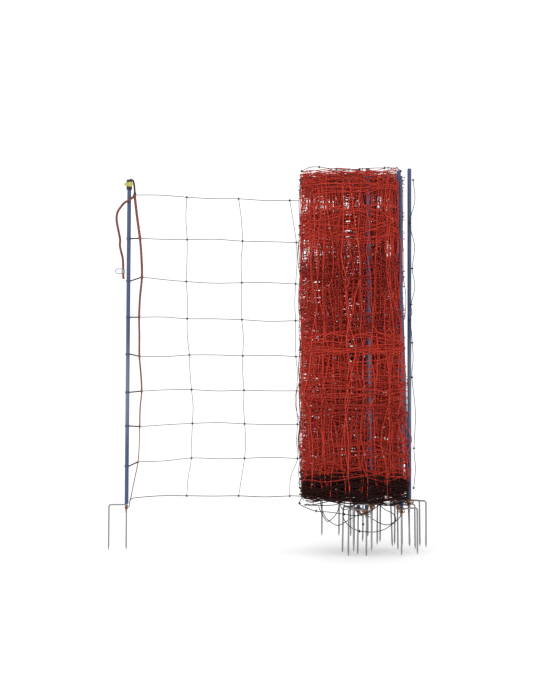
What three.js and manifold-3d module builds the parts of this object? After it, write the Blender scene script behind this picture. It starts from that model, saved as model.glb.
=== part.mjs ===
// Electric sheep netting on double-spike posts, standing on its spikes: the end post is drawn
// out with three mesh columns of net, and the rest is folded to and fro round the other posts.
// Millimetres, +Z up, X along the drawn-out net, origin under the middle of the whole thing.
import * as THREE from "three";
import { mergeVertices } from "three/addons/utils/BufferGeometryUtils.js";
import Module from "manifold-3d";

const wasm = await Module();
wasm.setup();

// Fit between pieces that touch or pass through one another.
const clearance = 0.3;

// Posts: a plastic stake with a steel double spike pushed into its foot.
const postLength = 1150;
const postRadius = 7;
const postTopRadius = 4.5;
const postSides = 10;
const spikeRadius = 3;
const spikeReach = 160;
const spikeSides = 6;
const spikePoint = 12;
const spikePointRadius = 1.2;
const spikeInsert = 55;
const prongSpacing = 62;
const prongBend = 8;

// Drawn-out net: strand heights above the floor, from the base strand up.
const baseStrandHeight = 185;
const rowSpacings = [135, 124, 121, 124, 130, 133, 150, 152];
const liveStrandRadius = 1.3;
const baseStrandRadius = 1.6;
const uprightStrandRadius = 1.1;
const strandSides = 5;
const firstColumn = 225;
const columnSpacing = 194;
const columnCount = 3;
const knotRadius = 5.2;
const columnWander = 11;
const edgePull = 9;
const strandSag = 4;

// The drawn-out end post and the end cord, which the live strands' ends are twisted into. Its
// knots sit a little above or below the rows whose strands they hold.
const drawnOut = 623;
const panelTurn = THREE.MathUtils.degToRad(7.27);
const drawnPostLean = THREE.MathUtils.degToRad(0.5);
const endCordReaches = [15, 42, 48, 55, 47, 46, 56, 49, 30];
const endCordRises = [-9.5, -8.5, -7, -1.5, -1.5, 8, 18, 6];
const endCordDrop = 51.3;
const endCordSides = 8;
const twistLoft = 1.4;

// Clips that hold the live strands off the end post, each ring a little off its own row.
const clipHeight = 6;
const clipWall = 2;
const clipArmRadius = 2.6;
const clipRises = [-23, -4.5, -5.5, 6, 7.5, 4, 4.5];

// Head of the end post: cap with a hooked arm, and its locking lever.
const capWall = 2.5;
const capHeight = 33;
const hookRadius = 3.8;
const hookBallRadius = 5.5;
const leverLength = 30;
const leverHeight = 18;
const leverTipHeight = 6;
const leverThickness = 5;
const leverDrop = 15;

// Lead: the end cord's free tail, with a steel clip that joins it to the next net or the fencer.
const leadRadius = 4.2;
const leadSides = 8;
const leadClipWidth = 26;
const leadClipHeight = 19;
const leadClipWire = 3;
const leadClipDrop = 272;

// Twine knot round the foot of the end post.
const tieRadius = 7.5;
const tieThickness = 3.4;

// Folded net: leaves with a post in each pocket between them, the live net above the base band.
const leafCount = 13;
const leafThickness = 6.4;
const foldWidth = 371.7;
const foldedTop = 1326;
const liveFoldBottom = 292;
const baseFoldBottom = 172;
const turnSegments = 3;

// Where each folded post stands: distance in from the fold's right edge, lift off the floor,
// side its second prong is on, and turn and lean in degrees. Pockets run from the back.
const foldedPosts = [
  { fromRight: 228.7, lift: 40, side: -1, turn: 1, lean: 0.4 },
  { fromRight: 125.7, lift: 40, side: -1, turn: 1, lean: -0.3 },
  { fromRight: 83.7, lift: 24, side: -1, turn: -2, lean: 0.5 },
  { fromRight: 21.7, lift: 0, side: 1, turn: 4, lean: -0.6 },
  { fromRight: 35.7, lift: 20, side: -1, turn: 2, lean: 0.3 },
  { fromRight: -16, lift: 20, side: -1, turn: 0, lean: -2 },
  { fromRight: 120.7, lift: 15, side: -1, turn: -2, lean: 0.7 },
  { fromRight: 15.7, lift: 24, side: 1, turn: -1, lean: -0.5 },
  { fromRight: 172.7, lift: 0, side: -1, turn: -35, lean: 0.9 },
  { fromRight: 21.7, lift: 0, side: 1, turn: 22, lean: -0.2 },
  { fromRight: 145.7, lift: 0, side: -1, turn: -5, lean: 0.5 },
  { fromRight: 128.7, lift: 21, side: -1, turn: 1, lean: -0.6 },
];
const lastPostPocket = 9;
const lastPostLift = 28;
const lastPostTurn = -29;

// Loops of the base strand that hang below the folds: leaf, right end in from the fold's right
// edge, width and drop.
const hangingLoops = [
  { leaf: 13, fromRight: 175.7, width: 134, drop: 66 },
  { leaf: 12, fromRight: 31.7, width: 210, drop: 86 },
  { leaf: 11, fromRight: 49.7, width: 154, drop: 62 },
];

const tubeFoot = spikeReach + spikeRadius + clearance;
const postTop = tubeFoot + postLength;
const endCordTop = postTop - endCordDrop;
const strandHeights = rowSpacings.reduce(
  (heights, spacing) => [...heights, heights.at(-1) + spacing],
  [baseStrandHeight],
);
const topRow = rowSpacings.length;
const leafGap = 2 * (postRadius + clearance);
const leafPitch = leafThickness + leafGap;
const at = (x, y, z) => new THREE.Vector3(x, y, z);

const finish = (color, roughness, metalness) =>
  new THREE.MeshStandardMaterial({ color, roughness, metalness });
const postPlastic = finish(0x3d4f86, 0.45, 0);
const spikeSteel = finish(0x9a9c9e, 0.4, 1);
const liveStrand = finish(0xb3301f, 0.6, 0);
const baseStrand = finish(0x17181a, 0.6, 0);
const blackPlastic = finish(0x101112, 0.5, 0);
const yellowPlastic = finish(0xcbc42a, 0.45, 0);
const tieTwine = finish(0x9a5a32, 0.8, 0);

// A closed three.js geometry as a solid for joining and cutting.
function solid(geometry) {
  const bare = geometry.clone();
  bare.deleteAttribute("normal");
  bare.deleteAttribute("uv");
  const merged = mergeVertices(bare, 1e-3);
  return new wasm.Manifold(
    new wasm.Mesh({
      numProp: 3,
      vertProperties: new Float32Array(merged.attributes.position.array),
      triVerts: new Uint32Array(merged.index.array),
    }),
  );
}

// A solid's surface as a flat-shaded three.js geometry.
function surface(body) {
  const mesh = body.getMesh();
  const geometry = new THREE.BufferGeometry();
  geometry.setAttribute("position", new THREE.BufferAttribute(mesh.vertProperties, 3));
  geometry.setIndex(new THREE.BufferAttribute(mesh.triVerts, 1));
  const faces = geometry.toNonIndexed();
  faces.computeVertexNormals();
  return faces;
}

const joined = (solids) => solids.reduce((whole, next) => whole.add(next));
const biggest = (body) => body.decompose().sort((a, b) => b.volume() - a.volume())[0];

// A round bar along a curve through the points.
function bar(points, radius, sides, steps) {
  const corner = (i) => {
    const angle = (2 * Math.PI * i) / sides;
    return new THREE.Vector2(radius * Math.cos(angle), radius * Math.sin(angle));
  };
  const section = new THREE.Shape(Array.from({ length: sides }, (_, i) => corner(i)));
  const path = new THREE.CatmullRomCurve3(points);
  return new THREE.ExtrudeGeometry(section, { steps, extrudePath: path, bevelEnabled: false });
}

// A turned piece about Z from its profile of [radius, height] pairs.
function turned(profile, sides) {
  const outline = profile.map(([radius, height]) => new THREE.Vector2(radius, height));
  return new THREE.LatheGeometry(outline, sides).rotateX(Math.PI / 2);
}

function piece(name, geometry, material) {
  const mesh = new THREE.Mesh(geometry, material);
  mesh.name = name;
  return mesh;
}

// Stake with a bevelled flat top and a blind socket for the spike, its foot at height zero.
function postGeometry() {
  const bevel = postRadius - postTopRadius;
  const socketRadius = spikeRadius + clearance;
  const socketDepth = spikeInsert + clearance;
  return turned(
    [
      [0, socketDepth],
      [socketRadius, socketDepth],
      [socketRadius, 0],
      [postRadius, 0],
      [postRadius, postLength - bevel],
      [postTopRadius, postLength],
      [0, postLength],
    ],
    postSides,
  );
}

// Straight prong standing on its point, from height zero up to a flat top.
function prong(height) {
  return turned(
    [
      [0, 0],
      [spikePointRadius, 0],
      [spikeRadius, spikePoint],
      [spikeRadius, height],
      [0, height],
    ],
    spikeSides,
  );
}

// Double spike: the main prong runs up into the post, and a bent step bar carries the second.
function spikeGeometry() {
  const bendStart = prongSpacing - prongBend;
  const bendFoot = spikeReach - prongBend;
  const straight = bar([at(0, 0, spikeReach), at(bendStart, 0, spikeReach)], spikeRadius, spikeSides, 1);
  const onBend = (angle) =>
    at(bendStart + prongBend * Math.sin(angle), 0, bendFoot + prongBend * Math.cos(angle));
  const bendAngles = [-0.1, 0, 0.5, 1, 1.1].map((share) => (share * Math.PI) / 2);
  const bend = bar(bendAngles.map(onBend), spikeRadius, spikeSides, 4);
  const outer = prong(bendFoot).translate(prongSpacing, 0, 0);
  const main = prong(tubeFoot + spikeInsert);
  return surface(joined([main, straight, bend, outer].map(solid)));
}

const sharedPost = postGeometry();
const sharedSpike = spikeGeometry();

// One post with its spike, standing on its prongs at its group's origin.
function standingPost(name, side, turn, lean) {
  const post = piece(`${name}_stake`, sharedPost, postPlastic);
  post.position.z = tubeFoot;
  const spike = piece(`${name}_double_spike`, sharedSpike, spikeSteel);
  spike.rotation.z = turn + (side < 0 ? Math.PI : 0);
  const group = new THREE.Group().add(post, spike);
  group.rotation.y = lean;
  return group;
}

// Where a horizontal strand crosses an upright one, in the drawn-out net's own plane.
function crossing(row, column) {
  const wander = (columnWander / column) * Math.sin((Math.PI * row) / 4 + 0.3 * (column - 1));
  const pull = row === 0 || row === topRow ? edgePull * column : 0;
  const along = firstColumn + columnSpacing * (column - 1) + wander - pull;
  return at(along, 0, strandHeights[row] - 3 * (column - 2));
}

const columns = Array.from({ length: columnCount }, (_, i) => i + 1);
const endCordKnot = (row) =>
  at(endCordReaches[row], 0, row === topRow ? endCordTop : strandHeights[row] + endCordRises[row]);

// A horizontal strand's line from its start to the folded net, slack between its knots.
function strandPoints(row, start) {
  const stops = [start, ...columns.map((column) => crossing(row, column))];
  const end = at(drawnOut - 2 * clearance, 0, strandHeights[row] - 4);
  stops.push(end);
  return stops.flatMap((stop, i) => {
    if (i === 0) return [stop];
    const bay = stop.distanceTo(stops[i - 1]) / columnSpacing;
    const middle = stop.clone().lerp(stops[i - 1], 0.5);
    middle.z += strandSag * bay * Math.sin(2.4 * row + 1.7 * i);
    return [middle, stop];
  });
}

// The base strand starts at the foot of the post, under the end cord's last knot.
function horizontalStrand(row, extra) {
  const radius = row === 0 ? baseStrandRadius : liveStrandRadius;
  const steps = 16;
  if (row > 0) return bar(strandPoints(row, endCordKnot(row)), radius + extra, strandSides, steps);
  const knot = endCordKnot(row);
  const foot = at(tieRadius + baseStrandRadius + 2 * clearance, 0, spikeReach - 12);
  const rest = strandPoints(row, at(knot.x + 14, 0, baseStrandHeight - 2));
  const points = [foot, at((foot.x + knot.x) / 2, 0, knot.z - 9), knot, ...rest];
  return bar(points, radius + extra, strandSides, steps + 6);
}

// The end cord gains one strand at each live row on its way up, so it thickens stretch by stretch.
function endCordSolid(extra) {
  const stretches = rowSpacings.map((_, row) => {
    const strands = Math.max(row, 1);
    const radius = liveStrandRadius * twistLoft * Math.sqrt(strands) + extra;
    const from = endCordKnot(row);
    const to = endCordKnot(row + 1);
    const middle = from.clone().lerp(to, 0.5);
    middle.x += 2 * Math.sin(2.3 * row);
    return solid(bar([from, middle, to], radius, endCordSides, 2));
  });
  const knots = strandHeights.map((_, row) => {
    const radius = liveStrandRadius * twistLoft * Math.sqrt(row + 1) + 1 + extra;
    const knot = endCordKnot(row);
    return solid(new THREE.SphereGeometry(radius, 6, 4).rotateX(Math.PI / 2).translate(knot.x, 0, knot.z));
  });
  return joined([...stretches, ...knots]);
}

// Upright strand with a moulded knot on each horizontal, which runs through it.
function uprightStrand(column) {
  const stops = strandHeights.map((_, row) => crossing(row, column));
  const points = stops.flatMap((stop, row) => {
    if (row === 0) return [stop];
    const middle = stop.clone().lerp(stops[row - 1], 0.5);
    middle.x += strandSag * Math.sin(1.9 * row + 2.2 * column);
    return [middle, stop];
  });
  const strand = solid(bar(points, uprightStrandRadius, 4, 20));
  const knots = stops.map((stop) =>
    solid(new THREE.OctahedronGeometry(knotRadius).translate(stop.x, 0, stop.z)),
  );
  const holes = stops.map((_, row) => solid(horizontalStrand(row, clearance)));
  return surface(joined([strand, ...knots]).subtract(joined(holes)));
}

const leanAt = (height) => height * Math.tan(drawnPostLean);

// Ring round the post and an arm out to the end cord, moulded in one.
function postClip(row, cord) {
  const height = strandHeights[row] + clipRises[row - 1];
  const inner = postRadius + clearance;
  const outer = inner + clipWall;
  const ring = turned(
    [
      [inner, 0],
      [outer, 0],
      [outer, clipHeight],
      [inner, clipHeight],
      [inner, 0],
    ],
    postSides,
  ).translate(0, 0, height - clipHeight / 2);
  ring.rotateY(drawnPostLean);
  const reach = endCordKnot(row);
  const arm = bar([at(leanAt(height) + outer - 1, 0, height), reach], clipArmRadius, 6, 1);
  return surface(biggest(solid(ring).add(solid(arm)).subtract(cord)));
}

// Cap over the post's top with an arm that hooks over to the right and ends in a ball.
const hookBall = at(endCordReaches[topRow] + 1, 0, endCordTop + hookBallRadius);
function capSolid(extra) {
  const inner = postRadius + 2 * clearance;
  const outer = inner + capWall + extra;
  const roof = postTop + clearance;
  const low = roof - capHeight - extra;
  const sleeve = turned(
    [
      [0, roof],
      [inner, roof],
      [inner, low],
      [outer, low],
      [outer, roof],
      [outer - 3, roof + 3 + extra],
      [0, roof + 3 + extra],
    ],
    12,
  ).rotateY(drawnPostLean);
  const start = leanAt(roof);
  const arm = bar(
    [at(start + 3, 0, roof + 4), at(start + 12, 0, roof + 2), at(hookBall.x - 3, 0, roof - 12), hookBall],
    hookRadius + extra,
    6,
    5,
  );
  const ball = new THREE.SphereGeometry(hookBallRadius + extra, 8, 5).rotateX(Math.PI / 2);
  ball.translate(hookBall.x, 0, hookBall.z);
  return joined([sleeve, arm, ball].map(solid));
}

// Locking lever: a flat teardrop across the front of the cap.
function leverGeometry() {
  const round = leverHeight / 2;
  const outline = new THREE.Shape();
  outline.moveTo(-leverLength + round, leverTipHeight / 2);
  outline.lineTo(-leverLength + round, -leverTipHeight / 2);
  outline.lineTo(0, -round);
  outline.absarc(0, 0, round, -Math.PI / 2, Math.PI / 2, false);
  const plate = new THREE.ExtrudeGeometry(outline, {
    depth: leverThickness,
    bevelEnabled: false,
    curveSegments: 5,
  }).rotateX(Math.PI / 2);
  const capFront = postRadius + 3 * clearance + capWall;
  return plate.translate(3, -capFront, postTop - leverDrop).rotateY(drawnPostLean);
}

// The lead's route from the end cord's top knot, chosen by hand: over the front of the post,
// out to the left, then down.
const leadRoute = [
  at(-1, -3, -1),
  at(-5, -9.5, -8),
  at(-12, -11.4, -14),
  at(-19, -12, -19),
  at(-27, -11, -24),
  at(-37, -9.5, -30),
  at(-48, -10, -43.5),
  at(-59, -9, -60),
  at(-63, -8.5, -76),
  at(-63.5, -7.5, -92.5),
  at(-60, -7, -114),
  at(-55, -6.5, -139),
  at(-51.3, -6, -160.6),
  at(-52, -5.5, -181),
  at(-48, -5, -201.5),
  at(-43, -4.8, -221),
  at(-40.8, -4.6, -243),
  at(-40.6, -4.6, -264),
  at(-40.6, -4.6, -283),
  at(-39, -4, -300),
].map((step) => step.add(at(endCordReaches[topRow], 0, endCordTop)));
function leadSolid(extra) {
  return solid(bar(leadRoute, leadRadius + extra, leadSides, 26));
}

// Steel clip: a D-shaped ring with a sleeve crimped round the lead.
function leadClipGeometry() {
  const height = endCordTop - leadClipDrop;
  const bend = leadClipHeight / 2;
  const flat = leadClipWidth - bend;
  const outline = new THREE.Shape();
  outline.moveTo(0, bend);
  outline.lineTo(-flat, bend);
  outline.absarc(-flat, 0, bend, Math.PI / 2, (3 * Math.PI) / 2, false);
  outline.lineTo(0, -bend);
  const hole = new THREE.Path();
  const inside = bend - leadClipWire;
  hole.moveTo(-leadClipWire, inside);
  hole.lineTo(-leadClipWire, -inside);
  hole.lineTo(-flat, -inside);
  hole.absarc(-flat, 0, inside, (3 * Math.PI) / 2, Math.PI / 2, true);
  outline.holes.push(hole);
  const ring = new THREE.ExtrudeGeometry(outline, {
    depth: leadClipWire,
    bevelEnabled: false,
    curveSegments: 6,
  });
  ring.rotateX(Math.PI / 2).translate(-10.5 - leadRadius, -4.5 + leadClipWire / 2, height);
  const outer = leadRadius + clearance + 1.8;
  const sleeve = turned(
    [
      [0, -bend],
      [outer, -bend],
      [outer, bend],
      [0, bend],
    ],
    10,
  ).translate(-10.6, -4.6, height);
  return surface(solid(ring).add(solid(sleeve)).subtract(leadSolid(clearance)));
}

// Twine wound round the main prong below the step bar, with its tail hanging free.
function tieGeometry(strand) {
  const inner = spikeRadius + clearance;
  const height = spikeReach - spikeRadius - 1;
  const turns = turned(
    [
      [inner, height - 14],
      [tieRadius - tieThickness / 2, height - 16],
      [tieRadius, height - 10],
      [tieRadius, height - 5],
      [tieRadius - tieThickness / 2, height],
      [inner, height - 1],
      [inner, height - 14],
    ],
    10,
  );
  const tail = bar(
    [at(-5, -3, height - 11), at(-9, -6, height - 16), at(-13, -7, height - 27)],
    tieThickness / 2,
    6,
    3,
  );
  const knot = [turns, tail].map((geometry) => solid(geometry.rotateY(drawnPostLean)));
  return surface(biggest(joined(knot).subtract(strand)));
}

// Plan outline of the net folded to and fro: leaves joined by turns, right and left in turn.
function foldOutline() {
  const half = leafThickness / 2;
  const reach = leafPitch / 2 + half;
  const left = reach;
  const right = foldWidth - reach;
  const leafY = (leaf) => -leafPitch * (leaf - 1);
  const outline = new THREE.Shape();
  outline.moveTo(0, half);
  outline.lineTo(right, half);
  for (let leaf = 1; leaf < leafCount; leaf += 1) {
    const centre = leafY(leaf) - leafPitch / 2;
    const turnsRight = leaf % 2 === 1;
    const radius = turnsRight ? leafPitch / 2 + half : leafPitch / 2 - half;
    const start = Math.PI / 2;
    outline.absarc(turnsRight ? right : left, centre, radius, start, -start, turnsRight);
  }
  outline.lineTo(foldWidth, leafY(leafCount) + half);
  outline.lineTo(foldWidth, leafY(leafCount) - half);
  for (let leaf = leafCount - 1; leaf >= 1; leaf -= 1) {
    const centre = leafY(leaf) - leafPitch / 2;
    const turnsRight = leaf % 2 === 1;
    const radius = turnsRight ? leafPitch / 2 - half : leafPitch / 2 + half;
    const start = Math.PI / 2;
    outline.absarc(turnsRight ? right : left, centre, radius, -start, start, !turnsRight);
  }
  outline.lineTo(0, -half);
  return outline;
}

function foldedNet(bottom, top) {
  const settings = { depth: top - bottom, bevelEnabled: false, curveSegments: turnSegments };
  return new THREE.ExtrudeGeometry(foldOutline(), settings).translate(0, 0, bottom);
}

// A loop of base strand that has slipped down between the folds.
function hangingLoop({ leaf, fromRight, width, drop }) {
  const top = baseFoldBottom - clearance;
  const onLoop = (share) => {
    const across = foldWidth - fromRight - width * (1 - share);
    const depth = drop * Math.sin(Math.PI * share) ** 0.7;
    return at(across, -leafPitch * (leaf - 1), top - depth);
  };
  const shares = [0, 0.04, 0.15, 0.32, 0.5, 0.68, 0.85, 0.96, 1];
  const loop = solid(bar(shares.map(onLoop), baseStrandRadius, strandSides, 14));
  return surface(biggest(loop.trimByPlane([0, 0, -1], -top)));
}

function drawnOutNet() {
  const panel = new THREE.Group();
  const cord = endCordSolid(0);
  const cordRoom = endCordSolid(clearance);
  const cap = capSolid(0);
  const capRoom = capSolid(clearance);
  const lowStrand = solid(horizontalStrand(0, 0));

  panel.add(standingPost("end_post", -1, 0, drawnPostLean));
  panel.add(piece("end_post_cap", surface(cap), blackPlastic));
  panel.add(piece("end_post_cap_lever", leverGeometry(), yellowPlastic));
  for (let row = 1; row < topRow; row += 1) {
    panel.add(piece(`end_post_clip_${row}`, postClip(row, cordRoom), blackPlastic));
  }

  const cutCord = cord.subtract(capRoom).subtract(solid(horizontalStrand(0, clearance)));
  panel.add(piece("end_cord", surface(biggest(cutCord)), liveStrand));
  panel.add(piece("base_strand", surface(lowStrand), baseStrand));
  for (let row = 1; row <= topRow; row += 1) {
    const room = row === topRow ? cordRoom.add(capRoom) : cordRoom;
    const strand = solid(horizontalStrand(row, 0)).subtract(room);
    panel.add(piece(`live_strand_${row}`, surface(biggest(strand)), liveStrand));
  }
  for (const column of columns) {
    panel.add(piece(`upright_strand_${column}`, uprightStrand(column), liveStrand));
  }

  const lead = leadSolid(0).subtract(capRoom).subtract(cordRoom);
  panel.add(piece("lead_cord", surface(biggest(lead)), liveStrand));
  panel.add(piece("lead_clip", leadClipGeometry(), spikeSteel));
  const tie = tieGeometry(solid(horizontalStrand(0, clearance)));
  panel.add(piece("end_post_foot_tie", tie, tieTwine));
  return panel;
}

function foldedBundle() {
  const bundle = new THREE.Group();
  bundle.add(piece("folded_net", foldedNet(liveFoldBottom, foldedTop), liveStrand));
  bundle.add(piece("folded_base_strands", foldedNet(baseFoldBottom, liveFoldBottom - clearance), baseStrand));
  hangingLoops.forEach((loop, i) =>
    bundle.add(piece(`hanging_loop_${i + 1}`, hangingLoop(loop), baseStrand)),
  );
  const radians = THREE.MathUtils.degToRad;
  foldedPosts.forEach(({ fromRight, lift, side, turn, lean }, i) => {
    const post = standingPost(`folded_post_${i + 1}`, side, radians(turn), radians(lean));
    post.position.set(foldWidth - fromRight, -leafPitch * (i + 0.5), lift);
    bundle.add(post);
  });
  const last = standingPost("last_post", 1, radians(lastPostTurn), 0);
  last.position.set(foldWidth + postRadius + clearance, -leafPitch * (lastPostPocket - 0.5), lastPostLift);
  bundle.add(last);
  return bundle;
}

const panel = drawnOutNet();
panel.rotation.z = panelTurn;
panel.position.set(-drawnOut * Math.cos(panelTurn), -drawnOut * Math.sin(panelTurn), 0);

const netting = new THREE.Group().add(foldedBundle(), panel);
netting.updateMatrixWorld(true);
const extent = new THREE.Box3().setFromObject(netting);
const middle = extent.getCenter(new THREE.Vector3());
netting.position.set(-middle.x, -middle.y, -extent.min.z);

export default netting;
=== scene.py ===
"""Electric sheep netting: one post drawn out with a panel of net, the rest folded round its posts.

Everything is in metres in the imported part's frame. The sections follow the net as it is put
together: lead and end cords, the drawn-out mesh, the posts and their fittings, the folded net.
"""

import bpy
import numpy as np
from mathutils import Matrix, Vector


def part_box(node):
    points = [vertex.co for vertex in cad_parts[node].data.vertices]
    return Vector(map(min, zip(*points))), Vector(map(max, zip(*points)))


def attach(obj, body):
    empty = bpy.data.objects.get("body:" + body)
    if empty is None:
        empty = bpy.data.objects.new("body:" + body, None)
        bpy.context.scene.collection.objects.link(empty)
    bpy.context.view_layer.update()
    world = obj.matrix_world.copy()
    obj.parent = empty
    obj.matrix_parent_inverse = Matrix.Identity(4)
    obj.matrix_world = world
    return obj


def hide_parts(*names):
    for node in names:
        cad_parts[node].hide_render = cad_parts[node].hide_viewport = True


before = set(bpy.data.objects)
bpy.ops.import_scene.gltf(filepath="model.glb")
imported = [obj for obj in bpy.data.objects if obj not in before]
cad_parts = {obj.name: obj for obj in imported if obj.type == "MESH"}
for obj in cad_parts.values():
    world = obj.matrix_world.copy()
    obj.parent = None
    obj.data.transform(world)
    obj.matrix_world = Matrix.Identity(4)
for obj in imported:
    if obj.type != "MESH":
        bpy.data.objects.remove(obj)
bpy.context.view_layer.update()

# Studio: a level camera as far back as the photographer stood, and soft white light from all
# round with a little more from the upper left.
EYE = (0.0168, -4.4537, 0.71)
LENS = 65.03

camera_data = bpy.data.cameras.new("camera")
camera_data.lens = LENS
camera_data.sensor_width = 36.0
camera_data.sensor_fit = "AUTO"
camera = bpy.data.objects.new("camera", camera_data)
camera.location = EYE
camera.rotation_euler = (np.pi / 2, 0.0, 0.0)
bpy.context.scene.collection.objects.link(camera)
bpy.context.scene.camera = camera
bpy.context.scene.view_settings.view_transform = "Standard"

world = bpy.data.worlds.new("studio")
world.use_nodes = True
world.node_tree.nodes["Background"].inputs["Color"].default_value = (1.0, 1.0, 1.0, 1.0)
world.node_tree.nodes["Background"].inputs["Strength"].default_value = 1.15
bpy.context.scene.world = world

key_data = bpy.data.lights.new("softbox", "AREA")
key_data.energy = 40.0
key_data.size = 3.5
key = bpy.data.objects.new("softbox", key_data)
key.location = (-1.8, -3.2, 3.0)
key.rotation_euler = (np.radians(52.0), 0.0, np.radians(-28.0))
bpy.context.scene.collection.objects.link(key)


# Floor: a plain pale sheet that runs out of sight. Its finish, like every one below, is a Finish
# whose sockets are summed as Python values.
FLOOR_SIZE = 60.0


class Socket:
    """One output of a material's node, on which + - * / and ** add Math nodes."""

    def __init__(self, finish, output):
        self.finish = finish
        self.output = output

    def sum_node(self, operation, first, second=None):
        values = {0: first} if second is None else {0: first, 1: second}
        return self.finish.node("Math", {"operation": operation}, values)

    def __add__(self, other):
        return self.sum_node("ADD", self, other)

    def __sub__(self, other):
        return self.sum_node("SUBTRACT", self, other)

    def __rsub__(self, other):
        return self.sum_node("SUBTRACT", other, self)

    def __mul__(self, other):
        return self.sum_node("MULTIPLY", self, other)

    def __truediv__(self, other):
        return self.sum_node("DIVIDE", self, other)

    def __pow__(self, other):
        return self.sum_node("POWER", self, other)

    __radd__ = __add__
    __rmul__ = __mul__

    def sine(self):
        return self.sum_node("SINE", self)

    def clamped(self):
        return self.finish.node("Clamp", {}, {"Value": self})


class Finish:
    """A material and its nodes: node() adds one, shade() sets the surface shader."""

    def __init__(self, name):
        self.material = bpy.data.materials.new(name)
        self.material.use_nodes = True
        self.tree = self.material.node_tree
        self.shader = self.tree.nodes["Principled BSDF"]

    def put(self, socket, value):
        if isinstance(value, Socket):
            self.tree.links.new(value.output, socket)
        else:
            socket.default_value = value

    def node(self, kind, settings, values, output=0):
        made = self.tree.nodes.new("ShaderNode" + kind)
        for setting, value in settings.items():
            if setting == "stops":
                for place, colour in value[2:]:
                    made.color_ramp.elements.new(place)
                for element, (place, colour) in zip(made.color_ramp.elements, value):
                    element.position = place
                    element.color = colour
            else:
                setattr(made, setting, value)
        for socket, value in values.items():
            self.put(made.inputs[socket], value)
        return Socket(self, made.outputs[output])

    def place(self):
        return self.node("TexCoord", {}, {}, "Object")

    def chart(self):
        return self.node("UVMap", {}, {})

    def axes(self, vector):
        parts = self.node("SeparateXYZ", {}, {0: vector})
        outputs = parts.output.node.outputs
        return [Socket(self, outputs[i]) for i in range(3)]

    def noise(self, scale, detail=3.0, at=None):
        values = {"Vector": at or self.place(), "Scale": scale, "Detail": detail}
        return self.node("TexNoise", {}, values)

    def mix(self, share, first, second):
        colours = {6: first, 7: second, 0: share}
        return self.node("Mix", {"data_type": "RGBA"}, colours, 2)

    def bump(self, height, strength, distance):
        values = {"Height": height, "Strength": strength, "Distance": distance}
        return self.node("Bump", {}, values)

    def shade(self, **sockets):
        for name, value in sockets.items():
            self.put(self.shader.inputs[name.replace("_", " ")], value)
        return self.material


def paint(red, green, blue):
    """An sRGB colour out of 255 as linear light, with its alpha."""
    share = np.array([red, green, blue]) / 255.0
    linear = np.where(share <= 0.04045, share / 12.92, ((share + 0.055) / 1.055) ** 2.4)
    return (*linear, 1.0)


floor_finish = Finish("pale_floor")
floor_finish.shade(Base_Color=paint(255, 255, 255), Roughness=0.9)
floor_mesh = bpy.data.meshes.new("floor")
half = FLOOR_SIZE / 2
floor_mesh.from_pydata(
    [(-half, -half, 0), (half, -half, 0), (half, half, 0), (-half, half, 0)], [], [(0, 1, 2, 3)]
)
floor_mesh.materials.append(floor_finish.material)
floor = bpy.data.objects.new("floor", floor_mesh)
bpy.context.scene.collection.objects.link(floor)

# Lead: the end cord's free tail, eight polywire strands laid up into a soft rope. It hangs over
# the front of the end post and ends in the crimped sleeve of its steel clip.
PANEL_TURN = np.radians(7.27)
PANEL_WIDTH = 0.623
LEAF_THICKNESS = 0.0064
fold_low, fold_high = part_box("folded_net")
FOLD_LEFT, FOLD_RIGHT = fold_low[0], fold_high[0]
FIRST_LEAF = fold_high[1] - LEAF_THICKNESS / 2
PANEL_FOOT = np.array(
    [
        FOLD_LEFT - PANEL_WIDTH * np.cos(PANEL_TURN),
        FIRST_LEAF - PANEL_WIDTH * np.sin(PANEL_TURN),
        fold_high[2] - 1.326,
    ]
)
LEAD_DIAMETER, LEAD_LAY = 0.0084, 0.038
LEAD_START = np.array([0.030, 0.0, 1.262])
LEAD_ROUTE = LEAD_START + 0.001 * np.array(
    [
        (-1, -3, -1),
        (-5, -9.5, -8),
        (-12, -11.4, -14),
        (-19, -12, -19),
        (-27, -11, -24),
        (-37, -9.5, -30),
        (-48, -10, -43.5),
        (-59, -9, -60),
        (-63, -8.5, -76),
        (-63.5, -7.5, -92.5),
        (-60, -7, -114),
        (-55, -6.5, -139),
        (-51.3, -6, -160.6),
        (-52, -5.5, -181),
        (-48, -5, -201.5),
        (-43, -4.8, -221),
        (-40.8, -4.6, -243),
        (-40.6, -4.6, -264),
        (-40.6, -4.6, -283),
        (-39, -4, -300),
    ]
)


def on_panel(points):
    """Turns points of the drawn-out panel's own plane about the end post's foot, then moves them
    to that foot: x' = x cos a - y sin a, y' = x sin a + y cos a."""
    cos, sin = np.cos(PANEL_TURN), np.sin(PANEL_TURN)
    turned = np.asarray(points, float) @ np.array([[cos, sin, 0], [-sin, cos, 0], [0, 0, 1]])
    return turned + PANEL_FOOT


def smooth_line(points, spacing):
    """A curve through the points, with its new points evenly spaced along it. Each stretch is the
    cubic through its two ends whose slope at a point is half the step between its neighbours."""
    p = np.asarray(points, float)
    padded = np.vstack([2 * p[0] - p[1], p, 2 * p[-1] - p[-2]])
    before, start, end, after = padded[:-3], padded[1:-2], padded[2:-1], padded[3:]
    t = np.linspace(0.0, 1.0, 9)[:-1][None, :, None]
    a, b, c, d = (q[:, None, :] for q in (before, start, end, after))
    fine = 0.5 * (
        2 * b + (c - a) * t + (2 * a - 5 * b + 4 * c - d) * t**2 + (3 * b - a - 3 * c + d) * t**3
    )
    fine = np.vstack([fine.reshape(-1, 3), p[-1]])
    run = np.concatenate([[0.0], np.cumsum(np.linalg.norm(np.diff(fine, axis=0), axis=1))])
    count = max(2, int(round(run[-1] / spacing)) + 1)
    stops = np.linspace(0.0, run[-1], count)
    return np.stack([np.interp(stops, run, fine[:, i]) for i in range(3)], axis=1)


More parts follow.
